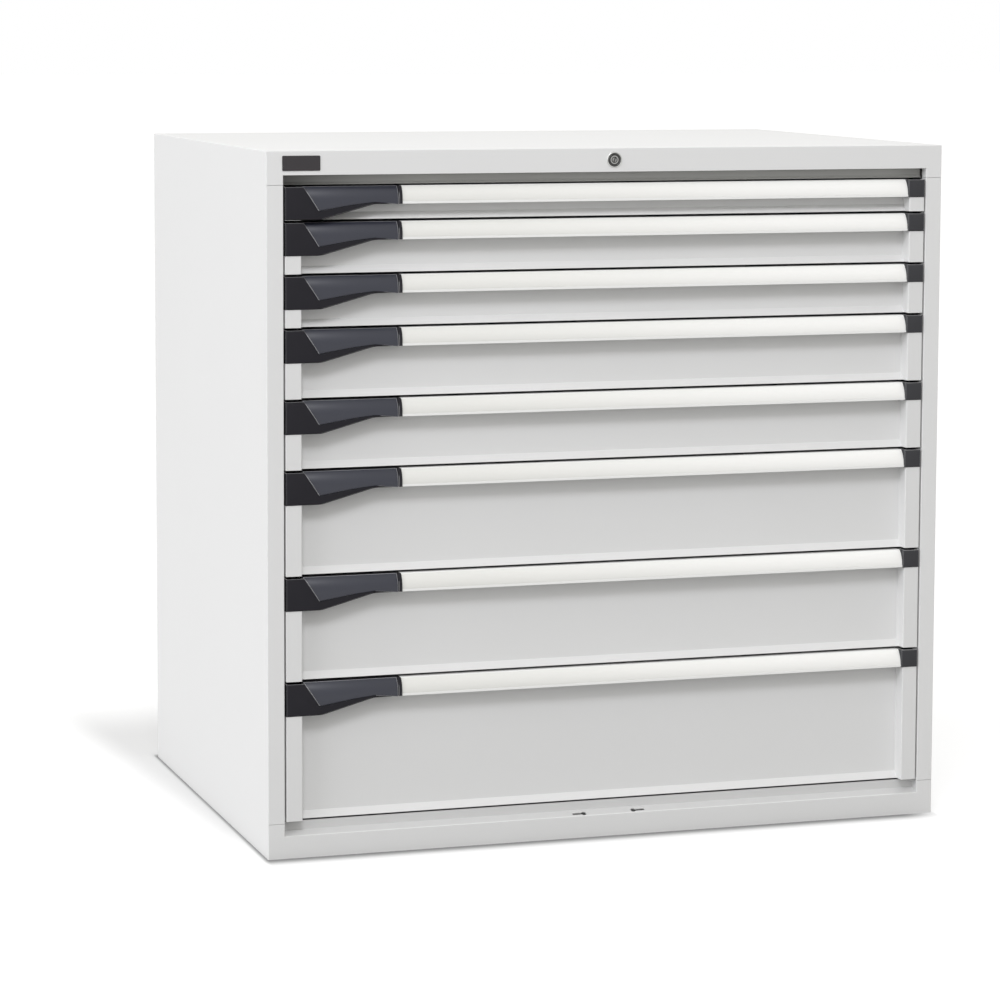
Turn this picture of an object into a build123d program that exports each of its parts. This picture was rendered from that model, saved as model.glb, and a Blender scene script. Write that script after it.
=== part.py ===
from build123d import *
import math
import os

# A sheet steel drawer cabinet with eight full-width drawers, in millimetres. The front faces -Y, +X is
# to the right, Z = 0 is the floor. The origin is under the middle of the whole box. "Depth" below is
# measured back from the housing's front plane.

# ---- Housing ----
width = 1023
depth = 725
plinth_height = 50             # floor to the lowest drawer's slot
drawer_pitches = (50, 75, 75, 100, 100, 150, 150, 200)    # slot heights, top to bottom
top_zone = 50                  # highest drawer's slot to the top
sheet = 1.5                    # housing and drawer fronts
bend = 1.2                     # outer radius of a folded edge
stile_width = 24.5
stile_return = 15
seam = 0.5                     # joint between two housing sheets
rail_rise = 16                 # top rail's lower edge above the highest slot
ear_rise = 2.5                 # lower end of the cover's corner ears above the highest slot
ledge_drop = 12                # base ledge's rear part below the lowest slot
ledge_fall = 6.5               # from the riser to the ledge's front edge
riser_gap = 2.5                # riser behind the ledge to the lowest drawer front
rear_flange = 20
foot_flange = 30
lintel_depth = 18
lintel_lip = 3
lintel_end_gap = 2             # lintel's end to the stile's inner edge
keyhole_depth = 6.5            # along the ledge's slope
keyhole_spacing = 90
keyhole_length = 21.6
keyhole_radius = 4
keyhole_tail = 4               # width of the narrow end

# ---- Runners ----
upright_setback = 36
upright_width = 40
upright_depth = 16.2
rear_upright_gap = 20          # rear upright to back panel
rail_depth = 11
rail_height = 24
rail_drop = 30                 # runner's centre line below the drawer's slot top
rail_setback = 22
running_gap = 0.8
slider_width = 10
slider_height = 14
slider_setback = 24
roller_gap = 0.5
outer_rollers = (330, 598)     # from the slider's front end
inner_rollers = (14, 270)
keeper_thickness = 2
keeper_height = 4
keeper_reach = 21.3            # from the upright towards the drawer

# ---- Drawers ----
side_gap = 2.4                 # drawer front to stile
top_gap = 0.5                  # drawer front's top below its slot top
bottom_gap = 3
flange_width = 23.3
flange_edge = 12
recess = 23                    # panel behind the front plane
lip_height = 10
lip_forward = 8
tray_sheet = 1.2
tray_top_gap = 9
tray_bottom_gap = 5
rear_space = 83.1              # tray to back panel

# ---- Handle ----
grip_height = 25
grip_lip = 3                   # lower edge that holds the label strip
grip_wall = 3
grip_top_depth = 10.75
grip_bottom_depth = 0.8
proud = 1.5                    # end blocks and lock before the front plane
cap_width = 26.1

# ---- Left end block and its catch, from the drawer front's left edge and top ----
block_width = 170
block_clearance = 4            # block's lower edge to the end of the lowest drawer's slot
block_flat = 52                # width of the tall end
block_bend = 40                # radius of the lower edge's two bends
shoulder_inset = 41            # from the right end to where the lower edge drops below the grip's height
block_wall = 2
block_face = 0.8               # thickness of the face behind the front plane
bevel = 1
top_bevel = 2.4                # height of the bevel along the top edge of both end blocks
lever_left = 26.6
lever_slant = 21.5             # how far the left edge leans over the lever's height
lever_inset = 5                # lever to the block's right end, a band that follows the grip's curve
lever_bottom = 34
waist_inset = 40               # from the block's right end
waist_drop = 22.5
knee_inset = 72                # from the block's right end
knee_drop = 26
lever_gap = 0.4
lever_cavity = 16.5
lever_sweep = 2                # room under the lever's edge, which sinks as it turns
overcut = 1                    # how far a cut runs past the face that it opens
pivot_depth = 10.5
pivot_drop = 5
barrel_radius = 2.5
pin_radius = 1.5
pin_gap = 0.08
pin_reach = 2.5                # pin in its boss
boss_width = 3.8
boss_height = 9
boss_depth = 5
arm_depth = 4
arm_thickness = 5
arm_drop = 12
arm_reach = 4.6                # pawl's outer side from the front's left edge
arm_width = 6
pawl_gap = 0.4
pawl_length = 2.6
pawl_overlap = 2.5
window_margin = 3

# ---- Lock ----
lock_drop = 17
rosette_radius = 11.5
housing_radius = 9.5
housing_length = 24
plug_radius = 7
key_slot = (2, 8)
key_tilt = 20                  # degrees, with the drawers free
key_depth = 3
plug_length = 26
shaft_radius = 4
crank_radius = 14
crank_thickness = 5
crank_throw = 8
crank_pin_radius = 2.5
crank_pin_length = 4.6
crank_slack = 0.5
bar_width = 40
bar_thickness = 4
bar_gap = 0.4
bar_head = 7.5                 # bar above its slot's centre
bar_tail = 10                  # bar below its lowest arm
tab_width = 16
tab_thickness = 3
finger_radius = 4
finger_height = 12
finger_gap = 2                 # below the drawer's hook when unlocked
hook_width = 24
hook_drop = 13                 # hook's arm below the slot top
hook_length = 50
hook_lip = 14
hook_slack = 1.5
guide_wall = 1.5
guide_foot = 10
guide_band = (4, 28)           # below a drawer's slot top
hanger_width = 30
hanger_drop = 30
hanger_from_back = 33
plate_width = 54.5
plate_height = 21
plate_inset = 23
plate_drop = 7
plate_thickness = 1
plate_corner = 1.5

# ---- Worked out from the sizes above ----
half = width / 2
front = (proud - depth) / 2
back = front + depth
slots_top = plinth_height + sum(drawer_pitches)
height = slots_top + top_zone
top_rail = slots_top + rail_rise
ear_end = slots_top + ear_rise
ledge = plinth_height - ledge_drop
ledge_edge = ledge - ledge_fall
stile_edge = half - stile_width
wall_inside = half - sheet
back_inside = back - 2 * sheet
front_half = stile_edge - side_gap             # half of a drawer front
panel_half = front_half - flange_width
rail_outside = wall_inside - upright_depth
slider_outside = rail_outside - rail_depth - running_gap
slider_inside = slider_outside - slider_width
tray_half = slider_inside - running_gap - rail_depth
lean = recess - lip_forward                    # foremost part of the lip, behind the front plane
tray_front = front + recess + sheet
tray_back = back_inside - rear_space
roller_radius = rail_height / 2 - sheet - roller_gap
rear_upright = back_inside - rear_upright_gap - upright_width
lock_height = height - lock_drop
bar_front = back_inside - bar_gap - bar_thickness
crank_front = bar_front - bar_gap - crank_thickness
pin_offset = crank_throw * math.sin(math.radians(45))
slot_height = lock_height - pin_offset
hook_lip_front = tray_back + hook_length - tab_thickness
finger_centre = hook_lip_front - hook_slack - finger_radius
finger_top = hook_drop + tab_thickness + hook_lip + finger_gap      # below a slot top
block_height = min(drawer_pitches) - block_clearance
block_shoulder = block_width - shoulder_inset
lever_right = block_width - lever_inset
guided_drawers = (len(drawer_pitches) // 2 + 1, len(drawer_pitches))
band_proud = proud + grip_bottom_depth         # the band in front of the grip's curve
grip_curve = ((grip_height - grip_lip) ** 2 + (grip_top_depth - grip_bottom_depth) ** 2) / (
    2 * (grip_top_depth - grip_bottom_depth))


def block(x, y, z, mode=Mode.ADD):
    """A box between two limits along each axis."""
    with Locations((min(x), min(y), min(z))):
        Box(abs(x[1] - x[0]), abs(y[1] - y[0]), abs(z[1] - z[0]), align=(Align.MIN,) * 3, mode=mode)


def facing(y, z=0.0):
    """A plane whose sketches are seen from the front and extrude forwards."""
    return Plane(origin=(0, y, z), x_dir=(1, 0, 0), z_dir=(0, -1, 0))


def profile(x, z):
    """A plane for a cross-section: depth behind the front plane, then height from z."""
    return Plane(origin=(x, front, z), x_dir=(0, 1, 0), z_dir=(1, 0, 0))


def grip_depth(drop, wall=0.0):
    """Depth of the grip's round face, or of its inside, at a height below the drawer front's top."""
    rise = grip_height - grip_lip - drop
    radius = grip_curve - wall
    return grip_bottom_depth + grip_curve - math.sqrt(radius ** 2 - max(rise, 0) ** 2)


def save(name, *pieces):
    """Writes one node, of one solid or of several that stay apart."""
    solids = [solid for piece in pieces for solid in piece.part.solids()]
    node = solids[0] if len(solids) == 1 else Compound(solids)
    node.label = name
    export_step(node, f"parts/{name}.step")


def make_side_panel(side):
    """Side wall, the stile and its return, the rear flange and the foot, folded from one sheet."""
    with BuildPart() as panel:
        wall = (side * half, side * wall_inside)
        block(wall, (front + sheet, back), (0, height - sheet))
        stile = (plinth_height + seam, ear_end - seam)
        block(wall, (front, back), stile)
        block((side * half, side * stile_edge), (front, front + sheet), stile)
        block((side * stile_edge, side * (stile_edge + sheet)), (front, front + stile_return), stile)
        block((side * half, side * (half - rear_flange)), (back - sheet, back), (0, height - sheet))
        block((side * half, side * (half - foot_flange)), (front + foot_flange, back_inside), (0, sheet))
        fillet(panel.edges().filter_by(Axis.Z).group_by(Axis.Y)[0], bend)
    return panel


def make_ears(low, high):
    """Corner ears at both ends of a rail, with the returns that go behind the stiles' edges."""
    for side in (-1, 1):
        block((side * half, side * stile_edge), (front, front + sheet), (low, high))
        edge = (side * stile_edge, side * (stile_edge + sheet))
        block(edge, (front, front + stile_return), (low, high))


def make_top_cover():
    """Lid, top rail and corner ears."""
    with BuildPart() as cover:
        block((-half, half), (front, back), (height - sheet, height))
        block((-half, half), (front, front + sheet), (top_rail, height))
        block((-stile_edge, stile_edge), (front, front + stile_return), (top_rail, top_rail + sheet))
        make_ears(ear_end, top_rail + sheet)
        fillet(cover.edges().filter_by(Axis.Z).group_by(Axis.Y)[0], bend)
        fillet(cover.faces().sort_by(Axis.Z)[-1].edges(), bend)
        with BuildSketch(facing(front + sheet, lock_height)):
            Circle(housing_radius + pin_gap)
        extrude(amount=sheet, mode=Mode.SUBTRACT)
    return cover


def make_shaft_hanger():
    """Plate under the lid that carries the rear end of the lock's shaft."""
    face = back_inside - hanger_from_back
    with BuildPart() as hanger:
        block((-hanger_width / 2, hanger_width / 2), (face, face + sheet), (height - sheet - hanger_drop,
                                                                          height - sheet))
        with BuildSketch(facing(face + sheet, lock_height)):
            Circle(shaft_radius + pin_gap)
        extrude(amount=sheet, mode=Mode.SUBTRACT)
    return hanger


def make_base_pan():
    """Bottom rail, sloping ledge with two keyhole slots, the riser behind it, the foot and corner ears."""
    with BuildPart() as pan:
        block((-half, half), (front, front + sheet), (0, ledge_edge))
        with BuildSketch(profile(-wall_inside, 0)):
            with BuildLine():
                Polyline((0, ledge_edge), (lean, ledge), (lean, ledge - sheet), (0, ledge_edge - sheet), close=True)
            make_face()
        extrude(amount=2 * wall_inside)
        block((-wall_inside, wall_inside), (front + lean, back_inside), (ledge - sheet, ledge))
        block((-wall_inside, wall_inside), (front + lean, front + lean + sheet),
              (ledge - sheet, plinth_height + bottom_gap - riser_gap))
        block((-wall_inside, wall_inside), (front, front + foot_flange), (0, sheet))
        make_ears(ledge_edge - sheet, plinth_height)
        fillet(pan.edges().filter_by(Axis.Z).group_by(Axis.Y)[0], bend)
        slope = Plane(origin=(0, front, ledge_edge), x_dir=(1, 0, 0), z_dir=(0, -ledge_fall, lean))
        with BuildSketch(slope):
            for side in (-1, 1):
                middle = side * keyhole_spacing / 2
                wide = middle - side * (keyhole_length / 2 - keyhole_radius)
                narrow = middle + side * (keyhole_length - keyhole_tail) / 2
                with Locations((wide, keyhole_depth)):
                    Circle(keyhole_radius)
                with Locations(((wide + narrow) / 2, keyhole_depth)):
                    SlotCenterToCenter(abs(narrow - wide), keyhole_tail)
        extrude(amount=-2 * sheet, mode=Mode.SUBTRACT)
    return pan


def make_back_panel():
    with BuildPart() as panel:
        block((-wall_inside, wall_inside), (back_inside, back - sheet), (0, height - sheet))
    return panel


def make_bar_guides():
    """Straps on the back panel that hold the lock bar and let it rise."""
    inside = bar_width / 2 + bar_gap
    with BuildPart() as guides:
        for number in guided_drawers:
            level = slots_top - sum(drawer_pitches[:number - 1])
            band = (level - guide_band[1], level - guide_band[0])
            foot = inside + guide_wall + guide_foot
            block((-foot, foot), (back_inside - guide_wall, back_inside), band)
            outer = inside + guide_wall
            block((-outer, outer), (bar_front - bar_gap - guide_wall, back_inside), band)
            block((-inside, inside), (bar_front - bar_gap, back_inside), band, mode=Mode.SUBTRACT)
    return guides


def make_lintel():
    """Cross member behind the top rail, with a lower lip that leans forwards."""
    reach = stile_edge - lintel_end_gap
    with BuildPart() as lintel:
        face = (front + lintel_depth, front + lintel_depth + sheet)
        low = slots_top + ear_rise - seam + lintel_lip
        block((-reach, reach), face, (low, height - sheet))
        block((-reach, reach), (face[0], face[1] + stile_return), (height - 2 * sheet, height - sheet))
        with BuildSketch(profile(-reach, low)):
            with BuildLine():
                lean = lintel_depth - lintel_lip
                Polyline((lintel_depth, 0), (lean, -lintel_lip), (lean + sheet, -lintel_lip),
                         (lintel_depth + sheet, 0), close=True)
            make_face()
        extrude(amount=2 * reach)
        with BuildSketch(facing(face[1], lock_height)):
            Circle(housing_radius + pin_gap)
        extrude(amount=sheet, mode=Mode.SUBTRACT)
    return lintel


def make_uprights():
    """Four channel posts that the cabinet's rails are fixed to."""
    with BuildPart() as posts:
        for side in (-1, 1):
            for start in (front + upright_setback, rear_upright):
                deep = (start, start + upright_width)
                channel = (deep[0] + sheet, deep[1] - sheet)
                tall = (ledge, height - sheet)
                block((side * rail_outside, side * wall_inside), deep, tall)
                block((side * (rail_outside + sheet), side * wall_inside), channel, tall, Mode.SUBTRACT)
    return posts


def make_cabinet_rails():
    """A channel on each side of each drawer's slot. The left ones end in the catch's keeper."""
    with BuildPart() as rails:
        for number in range(1, len(drawer_pitches) + 1):
            middle = runner_height(number)
            outer = (middle - rail_height / 2, middle + rail_height / 2)
            inner = (outer[0] + sheet, outer[1] - sheet)
            deep = (front + rail_setback, rear_upright + upright_width)
            for side in (-1, 1):
                block((side * rail_outside, side * (rail_outside - rail_depth)), deep, outer)
                hollow = (side * (rail_outside - sheet), side * (rail_outside - rail_depth))
                block(hollow, deep, inner, Mode.SUBTRACT)
            keeper = (-rail_outside, -rail_outside + keeper_reach)
            block(keeper, (deep[0] - keeper_thickness, deep[0]), (outer[1] - keeper_height, outer[1]))
    return rails


def make_name_plate():
    """Blank plate on the top rail."""
    with BuildPart() as plate:
        middle = (-half + plate_inset + plate_width / 2, -(plate_drop + plate_height / 2))
        with BuildSketch(facing(front, height)):
            with Locations(middle):
                RectangleRounded(plate_width, plate_height, plate_corner)
        extrude(amount=plate_thickness)
    return plate


def make_lock_housing():
    """Lock's rosette and barrel."""
    with BuildPart() as housing:
        with BuildSketch(facing(front + housing_length, lock_height)):
            Circle(housing_radius)
        extrude(amount=housing_length)
        with BuildSketch(facing(front, lock_height)):
            Circle(rosette_radius)
        extrude(amount=proud)
        chamfer(housing.faces().sort_by(Axis.Y)[0].edges(), proud / 3)
        with BuildSketch(facing(front + housing_length, lock_height)):
            Circle(plug_radius + pin_gap)
        extrude(amount=housing_length + proud, mode=Mode.SUBTRACT)
    return housing


def make_lock_plug():
    """Plug with its keyhole."""
    with BuildPart() as plug:
        with BuildSketch(facing(front + plug_length, lock_height)):
            Circle(plug_radius)
        extrude(amount=plug_length + proud / 2)
        with BuildSketch(facing(front - proud / 2 + key_depth, lock_height)):
            Rectangle(*key_slot, rotation=-key_tilt)
        extrude(amount=key_depth, mode=Mode.SUBTRACT)
    return plug


def make_lock_shaft():
    """Shaft from the plug to the crank."""
    with BuildPart() as shaft:
        with BuildSketch(facing(crank_front, lock_height)):
            Circle(shaft_radius)
        extrude(amount=crank_front - front - plug_length)
    return shaft


def make_crank():
    """Crank at the shaft's rear end, with the pin that lifts the lock bar."""
    with BuildPart() as crank:
        with BuildSketch(facing(crank_front + crank_thickness, lock_height)):
            Circle(crank_radius)
        extrude(amount=crank_thickness)
        with BuildSketch(facing(crank_front + crank_thickness + crank_pin_length, slot_height)):
            with Locations((pin_offset, 0)):
                Circle(crank_pin_radius)
        extrude(amount=crank_pin_length)
    return crank


def make_lock_bar():
    """Flat bar in front of the back panel, with the slot that the crank's pin lifts it by."""
    with BuildPart() as bar:
        low = runner_height(len(drawer_pitches)) + rail_drop - finger_top - finger_height - bar_tail
        block((-bar_width / 2, bar_width / 2), (bar_front, bar_front + bar_thickness), (low,
                                                                                   slot_height + bar_head))
        open_half = crank_pin_radius + crank_slack
        block((pin_offset - open_half, crank_throw + open_half), (bar_front, bar_front + bar_thickness),
              (slot_height - open_half, slot_height + open_half), Mode.SUBTRACT)
    return bar


def make_lock_arms():
    """An arm on the bar for each drawer."""
    with BuildPart() as arms:
        for number in range(1, len(drawer_pitches) + 1):
            top = runner_height(number) + rail_drop - finger_top - finger_height
            block((-tab_width / 2, tab_width / 2), (finger_centre - finger_radius, bar_front),
                  (top - tab_thickness, top))
    return arms


def make_lock_fingers():
    """The upright pin at the end of each arm, which rises behind the drawer's hook."""
    with BuildPart() as fingers:
        for number in range(1, len(drawer_pitches) + 1):
            top = runner_height(number) + rail_drop - finger_top - finger_height
            with BuildSketch(Plane.XY.offset(top)):
                with Locations((0, finger_centre)):
                    Circle(finger_radius)
            extrude(amount=finger_height)
    return fingers


def runner_height(number):
    """Centre line of a drawer's runners, counted from 1 at the top."""
    return slots_top - sum(drawer_pitches[:number - 1]) - rail_drop


def make_plate(x, y, z):
    """One flat sheet between two limits along each axis."""
    with BuildPart() as plate:
        block(x, y, z)
    return plate


def make_tray(top, bottom):
    """The drawer's box, open at the top: a floor with two sides and two end walls welded to it."""
    low = bottom + tray_bottom_gap
    tall = (low + tray_sheet, top - tray_top_gap)
    inside = tray_half - tray_sheet
    floor = make_plate((-tray_half, tray_half), (tray_front, tray_back), (low, low + tray_sheet))
    sides = [make_plate((side * inside, side * tray_half), (tray_front, tray_back), tall) for side in (-1, 1)]
    ends = [make_plate((-inside, inside), (start, start + tray_sheet), tall)
            for start in (tray_front, tray_back - tray_sheet)]
    return floor, *sides, *ends


def make_drawer_rails(middle):
    """The channels on the tray's sides, open outwards."""
    with BuildPart() as rails:
        outer = (middle - rail_height / 2, middle + rail_height / 2)
        inner = (outer[0] + sheet, outer[1] - sheet)
        for side in (-1, 1):
            block((side * tray_half, side * (tray_half + rail_depth)), (tray_front, tray_back), outer)
            hollow = (side * (tray_half + sheet), side * (tray_half + rail_depth))
            block(hollow, (tray_front, tray_back), inner, Mode.SUBTRACT)
    return rails


def make_hook_arm(top):
    """Arm from the tray's back towards the lock bar."""
    with BuildPart() as arm:
        block((-hook_width / 2, hook_width / 2), (tray_back, tray_back + hook_length),
              (top - hook_drop - tab_thickness, top - hook_drop))
    return arm


def make_hook_lip(top):
    """The lip under the arm's end, which the raised finger holds."""
    high = top - hook_drop - tab_thickness
    with BuildPart() as lip:
        block((-hook_width / 2, hook_width / 2), (hook_lip_front, hook_lip_front + tab_thickness),
              (high - hook_lip, high))
    return lip


def make_front_channel(side, top, bottom):
    """Flange at one end of the front, with its outer edge and the fold that goes back to the panel."""
    high = top - top_gap
    low = bottom + bottom_gap
    with BuildPart() as channel:
        edge = side * front_half
        block((edge, side * panel_half), (front, front + sheet), (low, high))
        block((edge, edge - side * sheet), (front, front + flange_edge), (low, high))
        fold = (side * panel_half, side * (panel_half + sheet))
        block(fold, (front, front + recess + sheet), (low, high))
        fillet(channel.edges().filter_by(Axis.Z).group_by(Axis.Y)[0], bend)
        if side < 0:
            deep = (front + arm_depth - window_margin, front + arm_depth + arm_thickness + 2 * window_margin)
            tall = (high - arm_drop - arm_thickness - window_margin, high - arm_drop + window_margin)
            block(fold, deep, tall, Mode.SUBTRACT)
    return channel


def make_front_panel(top, bottom):
    """Recessed panel between the two channels, with a lower lip that leans forwards."""
    high = top - top_gap
    low = bottom + bottom_gap
    with BuildPart() as panel:
        block((-panel_half, panel_half), (front + recess, front + recess + sheet), (low + lip_height, high))
        with BuildSketch(profile(-panel_half, low)):
            with BuildLine():
                Polyline((recess, lip_height), (lean, 0), (lean + sheet, 0),
                         (recess + sheet, lip_height), close=True)
            make_face()
        extrude(amount=2 * panel_half)
    return panel


def make_grip(top):
    """Handle strip: a round face over a finger space that is open below."""
    high = top - top_gap
    foot = grip_height - grip_lip
    start = block_width - front_half
    with BuildPart() as grip:
        with BuildSketch(profile(start, high)):
            with BuildLine():
                TangentArc((grip_bottom_depth, -foot), (grip_top_depth, 0), tangent=(0, 1))
                Polyline((grip_top_depth, 0), (recess, 0), (recess, -grip_wall),
                         (grip_depth(grip_wall, grip_wall), -grip_wall))
                inner = (grip_bottom_depth + grip_wall, -foot)
                TangentArc(inner, (grip_depth(grip_wall, grip_wall), -grip_wall), tangent=(0, 1))
                Polyline(inner, (inner[0], -grip_height), (0, -grip_height), (0, -foot),
                         (grip_bottom_depth, -foot))
            make_face()
        extrude(amount=front_half - cap_width - start)
    return grip


def bevel_face(part):
    """Bevels the edges of the part's front face, the top one over a greater height."""
    chamfer(part.faces().sort_by(Axis.Y)[0].edges().sort_by(Axis.Z)[:-1], bevel)
    face = part.faces().sort_by(Axis.Y)[0]
    chamfer(face.edges().sort_by(Axis.Z)[-1], top_bevel, bevel, reference=face)


def make_right_cap(top):
    """End cap over the right flange and the end of the grip."""
    high = top - top_gap
    tall = (high - grip_height - proud / 2, high)
    with BuildPart() as cap:
        block((front_half - cap_width, front_half), (front - proud, front), tall)
        block((front_half - cap_width, panel_half), (front - proud, front + recess), tall)
        bevel_face(cap)
    return cap


def make_left_block(top, bottom):
    """End block over the left flange, hollow behind its face, with the opening for the catch."""
    high = top - top_gap
    lip_top = bottom + bottom_gap + lip_height
    with BuildPart() as end:
        outline = ((0, 0), (block_width, 0), (block_width, -grip_height), (block_shoulder, -grip_height),
                   (block_flat, -block_height), (0, -block_height))
        with BuildSketch(facing(front + recess, high)) as shape:
            with Locations((-front_half, 0)):
                Polygon(*outline, align=None)
            fillet(shape.vertices().sort_by(Axis.X)[2:4], block_bend)
        extrude(amount=recess + proud)
        bevel_face(end)
        with BuildSketch(facing(front + recess, high)):
            add(shape.sketch_local)
            offset(amount=-block_wall, mode=Mode.REPLACE)
        extrude(amount=recess - block_face, mode=Mode.SUBTRACT)
        block((-front_half, -panel_half), (front, front + recess), (high - block_height, high),
              Mode.SUBTRACT)
        block((-panel_half, panel_half), (front + lean, front + recess),
              (bottom, lip_top), Mode.SUBTRACT)
        for start, depth, drop in ((-panel_half, boss_depth, boss_height),
                                   (lever_right - front_half, 0, grip_height)):
            block((start, start + boss_width), (front + depth, front + recess), (high - drop, high))
        with BuildSketch(profile(lever_right - front_half, high)):
            with BuildLine():
                foot = grip_height - grip_lip
                crest = (grip_depth(0, -band_proud), 0)
                TangentArc((-proud, -foot), crest, tangent=(0, 1))
                Polyline(crest, (crest[0], overcut), (-proud - overcut, overcut),
                         (-proud - overcut, -foot), (-proud, -foot))
            make_face()
        extrude(amount=lever_inset, mode=Mode.SUBTRACT)
        with BuildSketch(facing(front + lever_cavity, high)):
            add(lever_outline())
        extrude(amount=lever_cavity + proud, mode=Mode.SUBTRACT)
        with BuildSketch(facing(front + lever_cavity, high - lever_sweep)):
            add(lever_outline())
        extrude(amount=lever_cavity - block_face, mode=Mode.SUBTRACT)
        with BuildSketch(profile(-panel_half, high)):
            with Locations((pivot_depth, -pivot_drop)):
                Circle(pin_radius + pin_gap)
        extrude(amount=lever_right + pin_reach + panel_half - front_half, mode=Mode.SUBTRACT)
    return end


def lever_outline(inset=0.0):
    """The catch's face as seen from the front, in the left block."""
    corners = ((lever_left - overcut * lever_slant / lever_bottom, overcut), (lever_right, overcut),
               (lever_right, -grip_height - overcut), (block_width - waist_inset, -waist_drop),
               (block_width - knee_inset, -knee_drop), (lever_left + lever_slant, -lever_bottom))
    with BuildSketch() as face:
        with Locations((-front_half, 0)):
            Polygon(*corners, align=None)
        if inset:
            offset(amount=-inset, kind=Kind.INTERSECTION)
    return face.sketch


def make_catch(top):
    """Thumb lever with its hinge barrel and pins, and the arm that holds the pawl."""
    high = top - top_gap
    with BuildPart() as catch:
        start = lever_left - front_half
        with BuildSketch(profile(start, high)):
            foot = grip_height - grip_lip
            inner = (grip_bottom_depth + grip_wall, -foot)
            with BuildLine():
                TangentArc((grip_bottom_depth, -foot), (grip_top_depth, 0), tangent=(0, 1))
                Polyline((grip_top_depth, 0), (pivot_depth + barrel_radius, 0),
                         (pivot_depth + barrel_radius, -pivot_drop),
                         (grip_depth(pivot_drop, grip_wall), -pivot_drop))
                TangentArc(inner, (grip_depth(pivot_drop, grip_wall), -pivot_drop), tangent=(0, 1))
                Polyline(inner, (inner[0], -lever_bottom), (grip_bottom_depth, -lever_bottom),
                         (grip_bottom_depth, -foot))
            make_face()
        extrude(amount=lever_right - lever_left)
        with BuildSketch(facing(front + lever_cavity, high)):
            add(lever_outline(lever_gap))
        extrude(amount=lever_cavity + proud, mode=Mode.INTERSECT)
        pin_start = -panel_half + boss_width - pin_reach
        barrel_left = lever_left - front_half + lever_slant
        for left, right, radius in ((barrel_left, lever_right - front_half - lever_gap, barrel_radius),
                                    (pin_start, lever_right - front_half + pin_reach, pin_radius)):
            with BuildSketch(profile(left, high)):
                with Locations((pivot_depth, -pivot_drop)):
                    Circle(radius)
            extrude(amount=right - left)
        pawl_left = arm_reach - front_half
        arm = (high - arm_drop - arm_thickness, high - arm_drop)
        arm_front = front + arm_depth
        block((pawl_left, barrel_left), (arm_front, arm_front + arm_thickness), arm)
        pawl_front = front + rail_setback + pawl_gap
        pawl = (pawl_left, pawl_left + arm_width)
        block(pawl, (arm_front, pawl_front + pawl_length), arm)
        tooth = top - rail_drop + rail_height / 2 - pawl_overlap
        block(pawl, (pawl_front, pawl_front + pawl_length), (tooth, arm[0]))
    return catch


def make_slides(middle):
    """The two middle members, with rollers that run in the cabinet's and the drawer's channels."""
    with BuildPart() as sliders:
        deep = (front + slider_setback, tray_back - slider_setback / 2)
        for side in (-1, 1):
            block((side * slider_inside, side * slider_outside), deep,
                  (middle - slider_height / 2, middle + slider_height / 2))
            roller_width = rail_depth - sheet
            for places, wall, away in ((outer_rollers, slider_outside, 1),
                                       (inner_rollers, slider_inside, -1)):
                low = min(side * wall, side * (wall + away * roller_width))
                for place in places:
                    with BuildSketch(Plane.YZ.offset(low)):
                        with Locations((deep[0] + place, middle)):
                            Circle(roller_radius)
                    extrude(amount=roller_width)
    return sliders


os.makedirs("parts", exist_ok=True)
save("left_side_panel", make_side_panel(-1))
save("right_side_panel", make_side_panel(1))
save("top_cover", make_top_cover(), make_shaft_hanger())
save("base_pan", make_base_pan())
save("back_panel", make_back_panel(), make_bar_guides())
save("inner_lintel", make_lintel())
save("uprights", make_uprights())
save("cabinet_rails", make_cabinet_rails())
save("name_plate", make_name_plate())
save("lock_housing", make_lock_housing())
save("lock_plug", make_lock_plug(), make_lock_shaft(), make_crank())
save("lock_bar", make_lock_bar(), make_lock_arms(), make_lock_fingers())
for number, pitch in enumerate(drawer_pitches, 1):
    top = runner_height(number) + rail_drop
    bottom = top - pitch
    name = f"drawer_{number}"
    save(f"{name}_tray", *make_tray(top, bottom), make_drawer_rails(top - rail_drop),
         make_hook_arm(top), make_hook_lip(top))
    save(f"{name}_front", make_front_channel(-1, top, bottom), make_front_channel(1, top, bottom),
         make_front_panel(top, bottom))
    save(f"{name}_handle", make_grip(top))
    save(f"{name}_end_caps", make_left_block(top, bottom), make_right_cap(top))
    save(f"{name}_catch", make_catch(top))
    save(f"{name}_slides", make_slides(top - rail_drop))
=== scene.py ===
"""The looks of an eight-drawer sheet steel cabinet: powder-coated steel, charcoal plastic catches and caps,
pale grips with their label strips, and a nickel lock. Lengths are in metres."""
import math

import bmesh
import bpy
import numpy as np
from mathutils import Matrix, Vector


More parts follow.
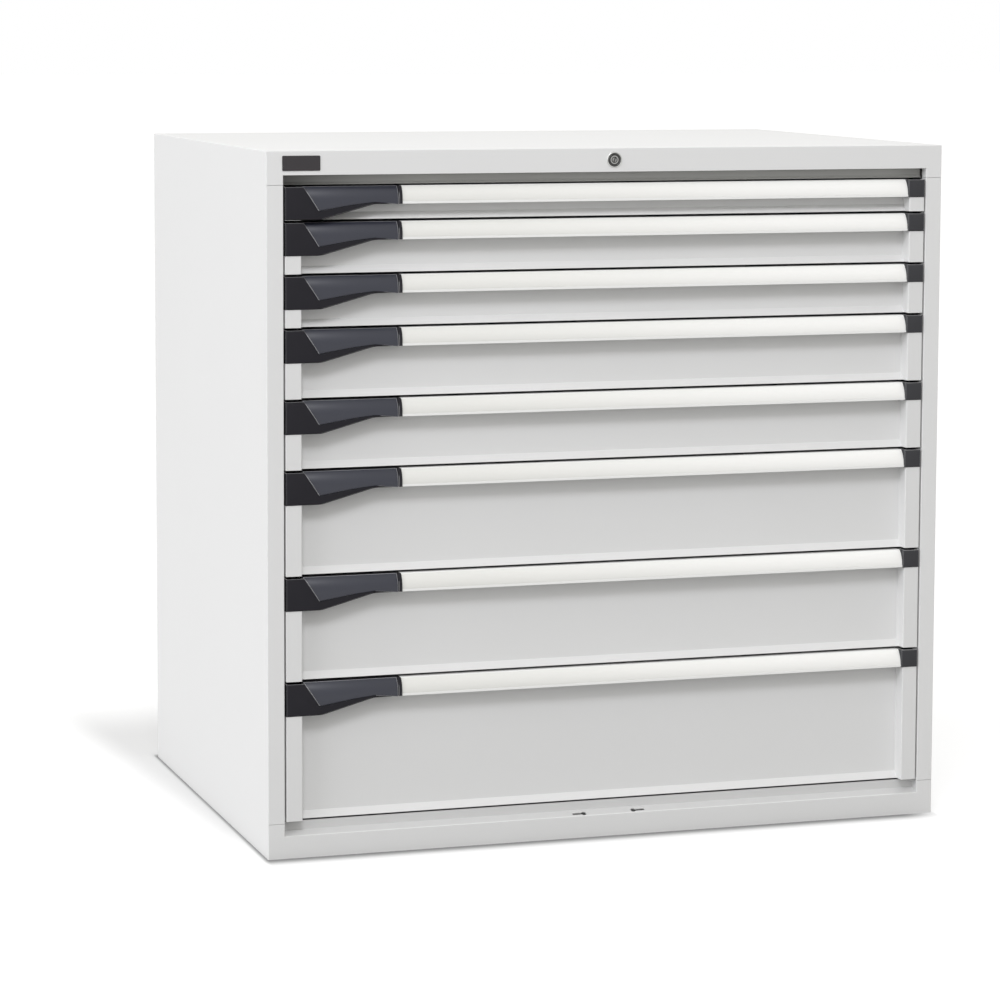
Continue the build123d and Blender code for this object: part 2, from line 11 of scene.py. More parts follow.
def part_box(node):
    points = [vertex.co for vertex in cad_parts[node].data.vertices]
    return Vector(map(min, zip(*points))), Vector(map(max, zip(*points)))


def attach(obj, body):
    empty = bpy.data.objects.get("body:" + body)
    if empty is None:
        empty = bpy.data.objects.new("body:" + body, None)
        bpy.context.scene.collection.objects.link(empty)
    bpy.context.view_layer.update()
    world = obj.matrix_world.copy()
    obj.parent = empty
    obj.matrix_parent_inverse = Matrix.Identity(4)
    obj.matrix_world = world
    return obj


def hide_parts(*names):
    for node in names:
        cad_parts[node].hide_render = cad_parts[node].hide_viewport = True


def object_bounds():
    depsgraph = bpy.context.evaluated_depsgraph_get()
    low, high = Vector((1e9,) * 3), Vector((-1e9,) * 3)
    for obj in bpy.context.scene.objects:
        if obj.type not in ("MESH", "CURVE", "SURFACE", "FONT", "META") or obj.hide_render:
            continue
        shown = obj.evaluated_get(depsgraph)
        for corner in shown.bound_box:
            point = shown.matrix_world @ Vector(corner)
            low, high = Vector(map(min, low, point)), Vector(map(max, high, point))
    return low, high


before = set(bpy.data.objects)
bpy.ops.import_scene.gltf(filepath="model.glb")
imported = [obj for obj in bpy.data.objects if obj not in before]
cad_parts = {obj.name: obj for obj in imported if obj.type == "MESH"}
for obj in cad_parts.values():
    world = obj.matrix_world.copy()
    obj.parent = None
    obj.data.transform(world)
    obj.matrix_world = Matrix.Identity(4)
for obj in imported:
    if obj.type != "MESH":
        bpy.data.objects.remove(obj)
CAD_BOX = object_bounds()

DRAWERS = range(1, 9)


def new_object(name, data):
    """An object in the scene for a camera, a mesh or a lamp."""
    thing = bpy.data.objects.new(name, data)
    bpy.context.scene.collection.objects.link(thing)
    return thing


# ---- Camera ----
IMAGE_SIZE = 1000
FOCAL_PIXELS = 3516.1
SENSOR = 36.0                              # width in millimetres
CAMERA_PLACE = Vector((-1.6967, -5.0931, 1.1907))
CAMERA_YAW = 0.31206                       # to the right of the cabinet's depth axis
CAMERA_PITCH = -0.10399
CAMERA_ROLL = 0.00354
PRINCIPAL_ROW = 380                        # image row of the optical axis


def place_camera():
    """The camera's axes: forward from yaw and pitch, right level, and up square to both. The roll turns the
    last two."""
    forward = Vector((math.sin(CAMERA_YAW) * math.cos(CAMERA_PITCH),
                      math.cos(CAMERA_YAW) * math.cos(CAMERA_PITCH), math.sin(CAMERA_PITCH)))
    level = Vector((math.cos(CAMERA_YAW), -math.sin(CAMERA_YAW), 0))
    above = level.cross(forward)
    right = level * math.cos(CAMERA_ROLL) + above * math.sin(CAMERA_ROLL)
    up = above * math.cos(CAMERA_ROLL) - level * math.sin(CAMERA_ROLL)
    axes = Matrix((right, up, -forward)).transposed().to_4x4()
    data = bpy.data.cameras.new("camera")
    data.sensor_width = SENSOR
    data.lens = FOCAL_PIXELS * SENSOR / IMAGE_SIZE
    data.shift_y = (PRINCIPAL_ROW - IMAGE_SIZE / 2) / IMAGE_SIZE
    camera = new_object("camera", data)
    camera.matrix_world = Matrix.Translation(CAMERA_PLACE) @ axes
    bpy.context.scene.camera = camera


place_camera()


# ---- Shader expressions ----
class Field:
    """A shader socket that can be used in arithmetic. Each operation adds one Math node."""

    def __init__(self, tree, socket):
        self.tree = tree
        self.socket = socket

    def math(self, operation, *values):
        return make_node(self.tree, "Math", {"operation": operation}, dict(enumerate(values)))

    def __add__(self, other):
        return self.math("ADD", self, other)

    def __sub__(self, other):
        return self.math("SUBTRACT", self, other)

    def __rsub__(self, other):
        return self.math("SUBTRACT", other, self)

    def __mul__(self, other):
        return self.math("MULTIPLY", self, other)

    def __truediv__(self, other):
        return self.math("DIVIDE", self, other)

    def __pow__(self, other):
        return self.math("POWER", self, other)

    def __abs__(self):
        return self.math("ABSOLUTE", self)

    def at_least(self, other):
        return self.math("MAXIMUM", self, other)

    def exponential(self):
        return self.math("EXPONENT", self)

    __radd__ = __add__
    __rmul__ = __mul__


def make_node(tree, kind, settings, sockets, output=0):
    """A node of one kind: its settings first, then a value or a link for each socket. One of its outputs
    comes back."""
    node = tree.nodes.new("ShaderNode" + kind)
    for name, value in settings.items():
        if name == "stops":
            for stop, (place, colour) in zip(ramp_stops(node.color_ramp, len(value)), value):
                stop.position = place
                stop.color = (*colour, 1)
        else:
            setattr(node, name, value)
    for name, value in sockets.items():
        if isinstance(value, Field):
            tree.links.new(value.socket, node.inputs[name])
        else:
            node.inputs[name].default_value = value
    return Field(tree, node.outputs[output])


def ramp_stops(ramp, count):
    """The stops of a colour ramp, of which a new one has two."""
    while len(ramp.elements) < count:
        ramp.elements.new(1)
    return ramp.elements


def new_tree(name):
    """A material with an empty tree."""
    material = bpy.data.materials.new(name)
    material.use_nodes = True
    material.node_tree.nodes.clear()
    return material, material.node_tree


def join_output(tree, surface, kind="Material"):
    """The output node of a material or of the world."""
    out = tree.nodes.new("ShaderNodeOutput" + kind)
    tree.links.new(surface.socket, out.inputs["Surface"])


def finish_material(material, tree, **sockets):
    """The surface shader and the output."""
    names = {name.replace("_", " ").title().replace("Ior", "IOR"): value for name, value in sockets.items()}
    join_output(tree, make_node(tree, "BsdfPrincipled", {}, names))
    return material


def mix_colour(tree, factor, first, second):
    """A blend of two colours, each a triple or a link."""
    first, second = ((*c, 1) if isinstance(c, tuple) else c for c in (first, second))
    return make_node(tree, "Mix", {"data_type": "RGBA"}, {0: factor, 6: first, 7: second}, output=2)


def dimmed(colour, share):
    """A darker tone of a colour."""
    return tuple(share * c for c in colour)


def object_place(tree, stretch=(1, 1, 1), shift=(0, 0, 0)):
    """The piece's own coordinates in metres, moved and then scaled along each axis."""
    place = make_node(tree, "TexCoord", {}, {}, output="Object")
    moved = make_node(tree, "VectorMath", {"operation": "ADD"}, {0: place, 1: shift})
    return make_node(tree, "VectorMath", {"operation": "MULTIPLY"}, {0: moved, 1: stretch})


def along_axis(tree, vector, axis):
    """One coordinate of a place or a direction."""
    return make_node(tree, "SeparateXYZ", {}, {"Vector": vector}, output=axis)


def smooth_step(tree, value, start, end, low=0.0, high=1.0):
    """From the low value at the start to the high one at the end, level at both."""
    return make_node(tree, "MapRange", {"interpolation_type": "SMOOTHSTEP"}, {
        "Value": value, "From Min": start, "From Max": end, "To Min": low, "To Max": high})


def region(tree, place, axis, start, end):
    """From 0 at the start to 1 at the end, along one axis of the piece."""
    return smooth_step(tree, along_axis(tree, place, axis), start, end)


def noise(tree, place, scale, detail):
    """Noise from 0 to 1 about the middle, with scale cells to a metre."""
    return make_node(tree, "TexNoise", {}, {"Vector": place, "Scale": scale, "Detail": detail})


def bump(tree, height, depth):
    """A normal from a height that is depth metres from its lowest to its highest."""
    return make_node(tree, "Bump", {}, {"Height": height, "Distance": depth, "Strength": 1.0})


def shown_rays(tree):
    """1 on rays from the camera, and on those that are mirrored or pass through something clear."""
    seen, mirrored, through = (make_node(tree, "LightPath", {}, {}, output=f"Is {kind} Ray")
                               for kind in ("Camera", "Glossy", "Transmission"))
    return seen + mirrored + through


# ---- Materials ----
PROUD = 0.0015                             # how far end blocks and lock stand out
FRONT_PLANE = CAD_BOX[0].y + PROUD
BLOCK_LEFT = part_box("drawer_1_end_caps")[0].x
PEEL_CELL = 0.0016                         # of the powder coat's orange peel
LOCK_CENTRE = (0.0, 0.0, 0.983)            # its depth is left out
LOCK_RADIUS = 0.0115
LOCK_RINGS = [                             # radius and grey
    (0, 0.30), (0.0030, 0.30), (0.0034, 0.07), (0.0044, 0.07), (0.0048, 0.42), (0.0056, 0.42),
    (0.0060, 0.12), (0.0070, 0.05), (0.0081, 0.06), (0.0085, 0.22), (0.0089, 0.07), (0.0095, 0.07),
    (0.0100, 0.60)]

# Where painted shade or light changes a finish: the axis along which it does, and the two ends of the
# change.
# painted shade on the base pan behind the front plane: its ledge and riser
SHADED_BEHIND_FRONT = ("Y", FRONT_PLANE + 0.0008, FRONT_PLANE + 0.0028)
# painted shadow of the left stile on the lintel's left end
LINTEL_LEFT_SHADOW = ("X", -0.33, -0.50)
# where the painted edge highlight gives way to plain dark plastic, at the end blocks' left edges
LEFT_OF_BLOCKS = ("X", BLOCK_LEFT + 0.0025, BLOCK_LEFT + 0.0010)
# painted sheen on the right end caps
RIGHT_CAPS_SHEEN = ("X", 0.30, 0.40)
# painted shade along the label strips, darker to the left
LABEL_SHADE_RAMP = ("X", -0.35, 0.42)


def powder_coat(name, colour, share=None, where=None):
    """Satin powder coat: a fine orange peel, a soft change of gloss, and a barely uneven tone. Some pieces
    have a region of painted shade, which shows only a share of the colour."""
    material, tree = new_tree(name)
    place = object_place(tree)
    peel = noise(tree, place, 1 / PEEL_CELL, 1.0)
    drift = noise(tree, place, 3.0, 3.0)
    tone = mix_colour(tree, drift, dimmed(colour, 0.965), colour)
    # the region holds painted shade
    if where:
        tone = mix_colour(tree, region(tree, place, *where), tone, dimmed(colour, share))
    return finish_material(
        material, tree,
        base_color=tone,
        roughness=0.40 + 0.08 * drift + 0.05 * peel,
        normal=bump(tree, peel, 0.00002))


def grained_plastic(name, colour, roughness, grain=0.0007, depth=0.00002, shine=0.35,
                    other=None, where=None):
    """Moulded plastic: a fine leather-like grain whose hollows are duller than its crests. One region can
    have another colour: a painted sheen on the right end caps, and plain dark plastic where the painted
    edge highlight is left off the blocks' left edges."""
    material, tree = new_tree(name)
    place = object_place(tree)
    cells = make_node(tree, "TexVoronoi", {"feature": "F1"}, {"Vector": place, "Scale": 1 / grain})
    cloud = noise(tree, place, 25.0, 2.0)
    tone = mix_colour(tree, cloud, dimmed(colour, 0.88), colour)
    if where:
        tone = mix_colour(tree, region(tree, place, *where), tone, other)
    return finish_material(
        material, tree,
        base_color=tone,
        roughness=roughness + 0.06 * cloud + 0.05 * cells,
        specular_ior_level=shine,
        normal=bump(tree, cells, depth))


def anodised(name, colour):
    """Drawn and anodised metal: hair-fine lines along the extrusion."""
    material, tree = new_tree(name)
    lines = noise(tree, object_place(tree, stretch=(4, 1, 1)), 900.0, 2.0)
    return finish_material(
        material, tree,
        base_color=mix_colour(tree, lines, dimmed(colour, 0.95), colour),
        metallic=0.1,
        roughness=0.46 + 0.08 * lines,
        normal=bump(tree, lines, 0.00001))


def covered_paper(name, left, right):
    """Label paper under a clear cover: faint fibres, a glossy coat, and a painted shade that makes the tone
    darker and yellower to the left."""
    material, tree = new_tree(name)
    along = region(tree, object_place(tree), *LABEL_SHADE_RAMP)
    fibres = noise(tree, object_place(tree, stretch=(0.35, 1, 1)), 1500.0, 4.0)
    crests = mix_colour(tree, along, left, right)
    hollows = mix_colour(tree, along, dimmed(left, 0.965), dimmed(right, 0.965))
    return finish_material(
        material, tree,
        base_color=mix_colour(tree, fibres, hollows, crests),
        roughness=0.6,
        coat_weight=0.25,
        coat_roughness=0.30,
        normal=bump(tree, fibres, 0.000004))


def galvanised(name):
    """Zinc on steel: crystals of several greys, each with its own gloss."""
    material, tree = new_tree(name)
    place = object_place(tree)
    crystal = make_node(tree, "TexVoronoi", {"feature": "F1"}, {"Vector": place, "Scale": 140.0},
                        output="Color")
    shade = make_node(tree, "SeparateColor", {}, {"Color": crystal})
    scratches = noise(tree, object_place(tree, stretch=(1, 0.1, 1)), 500.0, 2.0)
    return finish_material(
        material, tree,
        base_color=mix_colour(tree, shade, (0.50, 0.51, 0.53), (0.66, 0.67, 0.68)),
        metallic=0.9,
        roughness=0.36 + 0.14 * shade,
        normal=bump(tree, scratches, 0.00001))


def turned_nickel(name, centre):
    """Nickel turned on a lathe: fine lines about the lock's axis, on rings of several greys, from nearly
    black to light.
    """
    material, tree = new_tree(name)
    place = object_place(tree, shift=tuple(-c for c in centre))
    flat = make_node(tree, "VectorMath", {"operation": "MULTIPLY"}, {0: place, 1: (1, 0, 1)})
    radius = make_node(tree, "VectorMath", {"operation": "LENGTH"}, {0: flat}, output="Value")
    lines = make_node(tree, "TexNoise", {"noise_dimensions": "1D"}, {
        "W": radius, "Scale": 9000.0, "Detail": 1.0})
    stops = [(at / LOCK_RADIUS, (grey, grey, 0.97 * grey)) for at, grey in LOCK_RINGS]
    bands = make_node(tree, "ValToRGB", {"stops": stops}, {"Fac": radius * (1 / LOCK_RADIUS)})
    return finish_material(
        material, tree,
        base_color=mix_colour(tree, 0.2 * lines, bands, (0.10, 0.10, 0.10)),
        metallic=1.0,
        roughness=0.24 + 0.14 * lines,
        normal=bump(tree, lines, 0.00001))


PAINT = powder_coat("cabinet_powder_coat", (0.79, 0.79, 0.785))
DRAWER_PAINT = powder_coat("drawer_powder_coat", (0.77, 0.77, 0.765))
# the base pan's paint, with painted shade on its ledge and riser behind the front plane
BASE_PAINT_AND_SHADE = powder_coat("base_powder_coat", (0.79, 0.79, 0.785), share=0.80, where=SHADED_BEHIND_FRONT)
# the lintel's dark grey is partly a darker inner coat and partly painted shade under the top rail; its left
# end is darker still, a painted shadow of the left stile
LINTEL_PAINT_AND_SHADE = powder_coat("inner_coat_and_painted_shade", (0.41, 0.41, 0.395), share=0.35, where=LINTEL_LEFT_SHADOW)
ZINC = galvanised("galvanised_steel")
# charcoal plastic, with a painted sheen that lightens the right end caps
BLOCK_PLASTIC = grained_plastic("charcoal_plastic", (0.0265, 0.0255, 0.030), 0.50, shine=0.05,
                                other=(0.055, 0.055, 0.059), where=RIGHT_CAPS_SHEEN)
LEVER_PLASTIC = grained_plastic("lever_plastic", (0.022, 0.024, 0.038), 0.30, depth=0.000008, shine=0.6)
# lighter edge colours: painted highlights on the rounded edges of the end blocks and levers
BLOCK_EDGE_HIGHLIGHT = grained_plastic("painted_highlight_plastic", (0.16, 0.16, 0.165), 0.30, depth=0.000004, shine=0.6,
                             other=(0.034, 0.034, 0.036), where=LEFT_OF_BLOCKS)
LEVER_EDGE_HIGHLIGHT = grained_plastic("painted_highlight_lever_plastic", (0.50, 0.50, 0.52), 0.30, depth=0.000004, shine=0.6)
GRIP_METAL = anodised("anodised_grip", (0.90, 0.90, 0.885))
# the label's darker left end is painted shade
LABEL = covered_paper("covered_label", (0.80, 0.795, 0.76), (0.95, 0.945, 0.92))
NICKEL = turned_nickel("turned_nickel", LOCK_CENTRE)
PLATE = grained_plastic("plate_enamel", (0.034, 0.030, 0.033), 0.34, grain=0.0004, depth=0.000006)

NODE_FINISH = {
    "inner_lintel": LINTEL_PAINT_AND_SHADE, "base_pan": BASE_PAINT_AND_SHADE,
    "uprights": ZINC, "cabinet_rails": ZINC, "slides": ZINC, "lock_bar": ZINC,
    "name_plate": PLATE, "lock_housing": NICKEL, "lock_plug": NICKEL,
    "tray": DRAWER_PAINT, "front": DRAWER_PAINT, "handle": GRIP_METAL,
    "end_caps": BLOCK_PLASTIC, "catch": LEVER_PLASTIC,
}


def finish_cad():
    """Each carried-over piece gets the finish named for it, or the cabinet's paint."""
    for name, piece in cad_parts.items():
        kind = name.split("_", 2)[2] if name.startswith("drawer_") else name
        piece.data.materials.clear()
        piece.data.materials.append(NODE_FINISH.get(kind, PAINT))


finish_cad()


# ---- Pieces ----
SHARP_ANGLE = math.radians(50)             # new pieces are smooth where they turn less

GRIP_FOOT = 0.022                          # where the grip's round face starts, below its top
GRIP_FOOT_DEPTH = 0.0008                   # how far the face lies behind the grip's front at its foot
GRIP_TOP_DEPTH = 0.01075                   # and at its top
GRIP_CURVE = GRIP_TOP_DEPTH - GRIP_FOOT_DEPTH
GRIP_RADIUS = (GRIP_FOOT ** 2 + GRIP_CURVE ** 2) / (2 * GRIP_CURVE)
STRIP_LOW = 0.0217                         # the strip's edges, below the grip's top
STRIP_HIGH = 0.0012
STRIP_THICKNESS = 0.00035
STRIP_LIFT = 0.00002                       # of its inside off the grip
STRIP_INSET = 0.0004                       # at the grip's ends
STRIP_STEPS = 24                           # points across it

COLLAR_SECTION = [
    (0.00708, 0.0240), (0.0095, 0.0240), (0.0095, 0.0), (0.0115, 0.0), (0.0115, -0.0006), (0.0114, -0.0010),
    (0.0111, -0.0013), (0.0107, -0.0015), (0.0101, -0.0015), (0.0098, -0.0013), (0.0096, -0.0006),
    (0.0090, -0.0006), (0.0088, -0.0012), (0.0085, -0.0014), (0.0082, -0.0012), (0.0080, -0.0006),
    (0.0074, -0.0006), (0.00708, -0.0003)]             # radius and depth, once round the section
COLLAR_STEPS = 72                          # sections in its full turn

SKIRT_THICKNESS = 0.0003
SKIRT_FRONT = 0.0002                       # behind the front plane
SKIRT_BACK = 0.012
SKIRT_FACES = [(0, 1, 3, 2), (4, 6, 7, 5), (0, 4, 5, 1), (2, 3, 7, 6), (0, 2, 6, 4), (1, 5, 7, 3)]

MERGE_DISTANCE = 0.000002
FLAT_ANGLE = math.radians(0.5)             # faces that turn less are made one
SLIGHT_ANGLE = math.radians(30)            # edges that turn more are rounded by a part of the width
SQUARE_ANGLE = math.radians(60)            # and those that turn more than this by all of it
SLIGHT_WEIGHT = 0.35                       # that part
UNDERSIDE = -0.7                           # height of the normal, where a face counts as under the piece
POCKET_FLOOR = 0.8                         # and where it counts as the floor of its pocket
POCKET_DEPTH = 0.006                       # of that floor below the piece's top, at least
BLOCK_ROUNDING = (0.0006, 0.0035)          # width, and how far behind the piece's front it reaches
LEVER_ROUNDING = (0.0010, 0.0125)
ROUNDING_STEPS = 3


def add_piece(name, vertices, faces, body, material):
    """A new piece from its vertices and faces, riding on a body."""
    mesh = bpy.data.meshes.new(name)
    mesh.from_pydata(vertices.tolist(), [], faces.tolist())
    mesh.validate()
    mesh.shade_smooth()
    mesh.set_sharp_from_angle(angle=SHARP_ANGLE)
    mesh.materials.append(material)
    piece = new_object(name, mesh)
    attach(piece, body)
    return piece


def ring_faces(rings, points, closed=False):
    """Quads between rings whose vertices are stored ring by ring, each ring clockwise as seen from the side
    of the one after it. Closed, the last ring is followed by the first."""
    ring, point = np.meshgrid(np.arange(rings if closed else rings - 1), np.arange(points), indexing="ij")
    ring_after = (ring + 1) % rings
    point_after = (point + 1) % points
    quads = np.stack([ring * points + point, ring_after * points + point,
                      ring_after * points + point_after, ring * points + point_after], -1)
    return quads.reshape(-1, 4)


def label_strip(number):
    """Strip over the grip's round face. Across, a point at angle a from the arc's foot lies at radius r
    from the arc's centre. Outside, r is the face's radius plus the thickness, which halves at both long
    edges; inside, it is that radius plus the lift. Lengthwise the strip is straight."""
    low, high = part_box(f"drawer_{number}_handle")
    first = math.asin((GRIP_FOOT - STRIP_LOW) / GRIP_RADIUS)
    last = math.asin((GRIP_FOOT - STRIP_HIGH) / GRIP_RADIUS)
    across = np.linspace(first, last, STRIP_STEPS)
    outside = np.stack([across, np.full(STRIP_STEPS, STRIP_THICKNESS)], -1)
    outside[[0, -1], 1] *= 0.5
    inside = np.stack([across[::-1], np.full(STRIP_STEPS, STRIP_LIFT)], -1)
    section = np.concatenate([outside, inside])
    reach = GRIP_RADIUS + section[:, 1]
    depth = GRIP_FOOT_DEPTH + GRIP_RADIUS - reach * np.cos(section[:, 0])
    rise = reach * np.sin(section[:, 0]) - GRIP_FOOT
    ends = np.array([low.x + STRIP_INSET, high.x - STRIP_INSET])
    points = len(section)
    vertices = np.empty((2, points, 3))
    vertices[..., 0] = ends[:, None]
    vertices[..., 1] = low.y + depth
    vertices[..., 2] = high.z + rise
    pairs = np.arange(STRIP_STEPS - 1)
    end = np.stack([pairs, pairs + 1, points - 2 - pairs, points - 1 - pairs], -1)
    faces = np.concatenate([ring_faces(2, points), end, end[:, ::-1] + points])
    return add_piece(f"label_strip_{number}", vertices.reshape(-1, 3), faces, f"drawer_{number}", LABEL)


def turned_collar():
    """The lock's rosette and barrel, turned about the lock's axis: a point of the section at radius r and
    depth d comes to (r cos a, d, r sin a) at each angle a of a full turn."""
    section = np.array(COLLAR_SECTION)
    angle = np.linspace(0, 2 * math.pi, COLLAR_STEPS, endpoint=False)
    vertices = np.empty((COLLAR_STEPS, len(section), 3))
    vertices[..., 0] = LOCK_CENTRE[0] + np.cos(angle)[:, None] * section[:, 0]
    vertices[..., 1] = FRONT_PLANE + section[:, 1]
    vertices[..., 2] = LOCK_CENTRE[2] + np.sin(angle)[:, None] * section[:, 0]
    faces = ring_faces(COLLAR_STEPS, len(section), closed=True)
    collar = add_piece("turned_collar", vertices.reshape(-1, 3), faces, "housing", NICKEL)
    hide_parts("lock_housing")
    return collar


def block_skirt(number):
    """Thin plate down the end block's left side: its corners are all the combinations of two places along
    each axis, with x changing last and z first."""
    low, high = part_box(f"drawer_{number}_end_caps")
    places = np.array([[low.x - SKIRT_THICKNESS, low.x],
                       [FRONT_PLANE + SKIRT_FRONT, FRONT_PLANE + SKIRT_BACK],
                       [low.z, high.z]])
    vertices = np.stack(np.meshgrid(*places, indexing="ij"), -1).reshape(-1, 3)
    return add_piece(f"block_skirt_{number}", vertices, np.array(SKIRT_FACES), f"drawer_{number}",
                     BLOCK_PLASTIC)


def softened(name, node, body, material, highlight_material, slot, width, front_reach):
    """A copy of a CAD piece whose sharp front edges are rounded and given a lighter colour as a painted
    highlight, apart from those under it and those of its pocket's floor: a full width on square edges, and
    less on edges that turn less."""
    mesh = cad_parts[node].data.copy()
    mesh.name = name
    shell = bmesh.new()
    shell.from_mesh(mesh)
    bmesh.ops.remove_doubles(shell, verts=shell.verts, dist=MERGE_DISTANCE)
    bmesh.ops.dissolve_limit(shell, angle_limit=FLAT_ANGLE, verts=shell.verts, edges=shell.edges)
    layers = shell.edges.layers.float
    weight = layers.get("bevel_weight_edge") or layers.new("bevel_weight_edge")
    front_limit = min(v.co.y for v in shell.verts) + front_reach
    pocket_limit = max(v.co.z for v in shell.verts) - POCKET_DEPTH
    for face in shell.faces:
        face.smooth = True
    for edge in shell.edges:
        turn = edge.calc_face_angle_signed() if len(edge.link_faces) == 2 else 0
        slopes = [face.normal.z for face in edge.link_faces]
        seen = max(v.co.y for v in edge.verts) < front_limit and min(slopes) > UNDERSIDE
        pocket = max(slopes) > POCKET_FLOOR and max(v.co.z for v in edge.verts) < pocket_limit
        if turn > SLIGHT_ANGLE and seen and not pocket:
            edge[weight] = 1.0 if turn > SQUARE_ANGLE else SLIGHT_WEIGHT
        elif abs(turn) > SLIGHT_ANGLE:
            edge.smooth = False
    shell.to_mesh(mesh)
    shell.free()
    mesh.materials.clear()
    mesh.materials.append(material)
    mesh.materials.append(highlight_material)
    piece = new_object(name, mesh)
    bevel = piece.modifiers.new("rounded_edges", "BEVEL")
    # the rounded edges take the second material: the painted highlight
    bevel.material = 1
    bevel.limit_method = "WEIGHT"
    bevel.width = width
    bevel.segments = ROUNDING_STEPS
    bevel.use_clamp_overlap = False
    bevel.harden_normals = False
    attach(piece, body)
    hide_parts(node)
    return piece


turned_collar()
for number in DRAWERS:
    label_strip(number)
    block_skirt(number)
    softened(f"end_caps_{number}", f"drawer_{number}_end_caps", f"drawer_{number}", BLOCK_PLASTIC,
             BLOCK_EDGE_HIGHLIGHT, "dark_plastic", *BLOCK_ROUNDING)
    softened(f"lever_{number}", f"drawer_{number}_catch", f"catch_{number}", LEVER_PLASTIC, LEVER_EDGE_HIGHLIGHT,
             "dark_plastic", *LEVER_ROUNDING)


# ---- Floor, light and background ----
WHITE = (1.0, 1.0, 1.0)
BLACK = (0.0, 0.0, 0.0)
HORIZON = 0.64                             # light from the surround, level with the cabinet
OVERHEAD = 0.80                            # and from straight above
SOFTBOX = (0.42, 0.62)                     # sines of the heights between which the one turns into the other
AMBIENT_COLOUR = (1.0, 0.99, 0.955)        # of the surround's light
LAMP_COLOUR = (0.99, 1.0, 1.045)
KEY_PLACE = Vector((-1.4, -3.6, 3.9))
KEY_SIZE = 1.1
KEY_SHARE = 0.31
LEFT_TOWARDS = (-0.97, -0.15, 0.20)
LEFT_SHARE = 0.58
LEFT_WIDTH = math.radians(60)
FLOOR_REACH = 60.0
FLOOR_SHADE = (0.38, 0.38, 0.38)
FLOOR_GLOW = 0.72
# painted contact shadow: how much of the floor's glow and own shade it takes away, and how far it reaches
CONTACT_DARKNESS = 0.93                    # of the floor's glow, at the cabinet's edges
CONTACT_SHADE = 0.45                       # of the floor's own shade, in the same places
CONTACT_REACH = (0.0065, 0.0235)           # beside the cabinet, and in front of it and behind it
CONTACT_END = (0.54, 0.46)                 # it fades out between these, at the cabinet's right
# painted soft shadow that spreads to the back: its darkness, width and extent
BACK_DARKNESS = 0.40                       # of the floor's glow, in the shadow that spreads to the back
BACK_WIDTH = 0.075                         # of that shadow, level with the cabinet's middle
BACK_GROWTH = (0.085, 0.05)                # of its outer and inner edge, for each metre further back
BACK_START = (-0.06, 0.21)                 # from the cabinet's front
BACK_END = (0.54, 0.16)                    # from its back


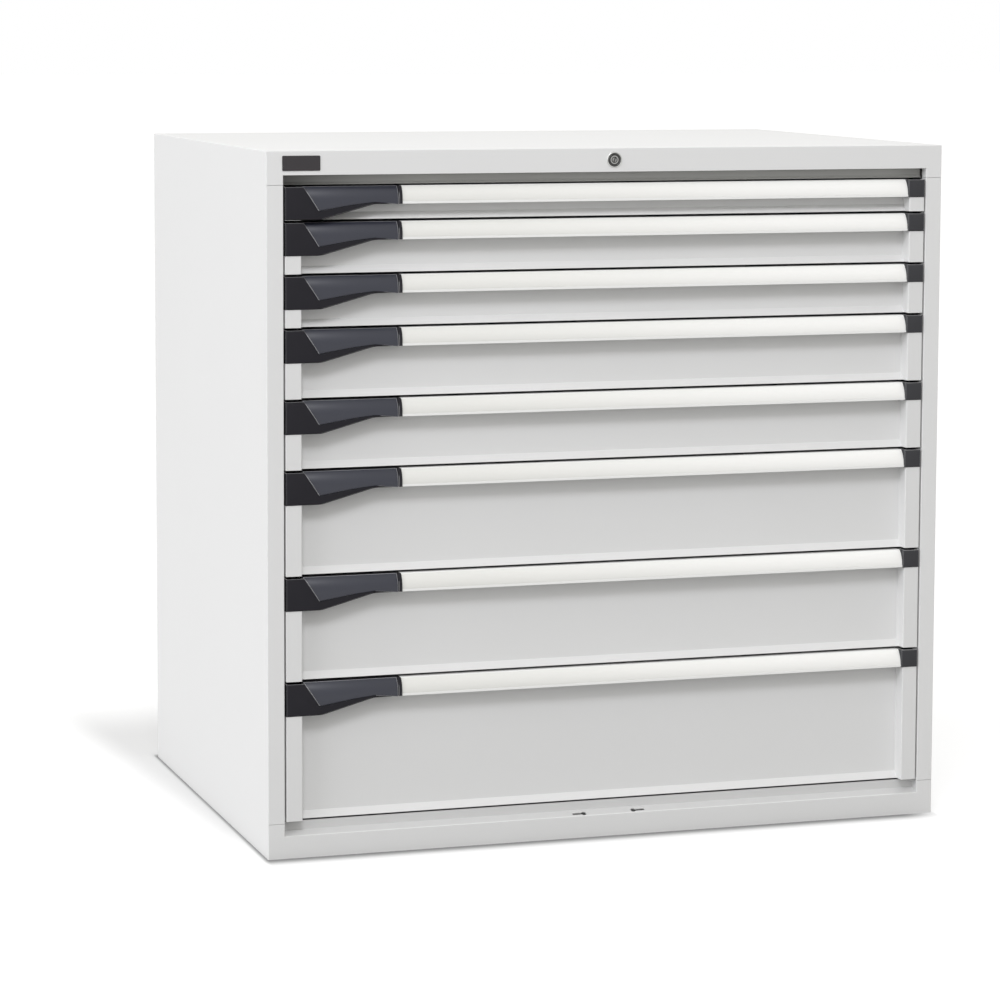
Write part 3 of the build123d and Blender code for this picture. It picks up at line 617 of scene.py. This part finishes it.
def lay_floor():
    """A level white floor that keeps the cabinet's shadow. A painted shadow is added as well: its glow and
    its own shade fade close to the cabinet, as e to the minus distance squared, and its glow fades in a
    soft painted shadow that grows wider towards the back."""
    corners = [(-FLOOR_REACH, -FLOOR_REACH, 0), (FLOOR_REACH, -FLOOR_REACH, 0),
               (FLOOR_REACH, FLOOR_REACH, 0), (-FLOOR_REACH, FLOOR_REACH, 0)]
    mesh = bpy.data.meshes.new("floor")
    mesh.from_pydata(corners, [], [(0, 1, 2, 3)])
    floor = new_object("floor", mesh)
    material, tree = new_tree("floor_white")
    place = object_place(tree)
    x, y = (along_axis(tree, place, axis) for axis in "XY")
    low, high = CAD_BOX
    beside = abs(x) - high.x
    off_x = beside.at_least(0.0)
    off_y = (abs(y) - high.y).at_least(0.0)
    # painted contact shadow, strongest at the cabinet's edges
    nearness = (off_x * (1 / CONTACT_REACH[0])) ** 2 + (off_y * (1 / CONTACT_REACH[1])) ** 2
    contact = (nearness * -1).exponential() * smooth_step(tree, x, *CONTACT_END) * CONTACT_DARKNESS
    matt = make_node(tree, "BsdfDiffuse", {}, {
        "Color": mix_colour(tree, contact * CONTACT_SHADE, FLOOR_SHADE, BLACK)})
    # painted soft shadow that widens towards the back
    outer = BACK_WIDTH + BACK_GROWTH[0] * y
    inner = BACK_GROWTH[1] * y
    spread = smooth_step(tree, (outer - beside) / (outer - inner), 0, 1)
    spread = spread * smooth_step(tree, y, low.y + BACK_START[0], low.y + BACK_START[1])
    spread = spread * smooth_step(tree, y, high.y + BACK_END[0], high.y + BACK_END[1])
    dimmer = contact.at_least(spread * BACK_DARKNESS)
    glow = make_node(tree, "Emission", {}, {"Strength": shown_rays(tree) * FLOOR_GLOW * (1 - dimmer)})
    join_output(tree, make_node(tree, "AddShader", {}, {0: matt, 1: glow}))
    mesh.materials.append(material)


def light_world():
    """A white surround where it is seen or mirrored. As light it is dimmer, with a bright softbox
    overhead."""
    world = bpy.data.worlds.new("studio")
    bpy.context.scene.world = world
    world.use_nodes = True
    tree = world.node_tree
    tree.nodes.clear()
    height = along_axis(tree, make_node(tree, "TexCoord", {}, {}), "Z")
    dome = smooth_step(tree, height, *SOFTBOX, HORIZON, OVERHEAD)
    shown = shown_rays(tree)
    sky = make_node(tree, "Background", {}, {
        "Color": mix_colour(tree, shown, AMBIENT_COLOUR, WHITE), "Strength": shown + (1 - shown) * dome})
    join_output(tree, sky, "World")


def distant_light(name, towards, share, width):
    """A broad distant light. Its share is the part of a facing white surface's brightness that it gives."""
    data = bpy.data.lights.new(name, "SUN")
    data.energy = share * math.pi
    data.angle = width
    data.color = LAMP_COLOUR
    lamp = new_object(name, data)
    lamp.rotation_euler = Vector(towards).to_track_quat("Z", "Y").to_euler()


def softbox(name, place, size, share):
    """A square light that faces the middle of the cabinet's front. Its share is as for a distant light."""
    target = Vector((0, CAD_BOX[0].y, CAD_BOX[1].z / 2))
    data = bpy.data.lights.new(name, "AREA")
    data.size = size
    data.energy = share * math.pi ** 2 * (place - target).length_squared
    data.color = LAMP_COLOUR
    lamp = new_object(name, data)
    lamp.location = place
    lamp.rotation_euler = (place - target).to_track_quat("Z", "Y").to_euler()


lay_floor()
light_world()
softbox("key_light", KEY_PLACE, KEY_SIZE, KEY_SHARE)
distant_light("left_light", LEFT_TOWARDS, LEFT_SHARE, LEFT_WIDTH)

bpy.context.scene.view_settings.view_transform = "Standard"
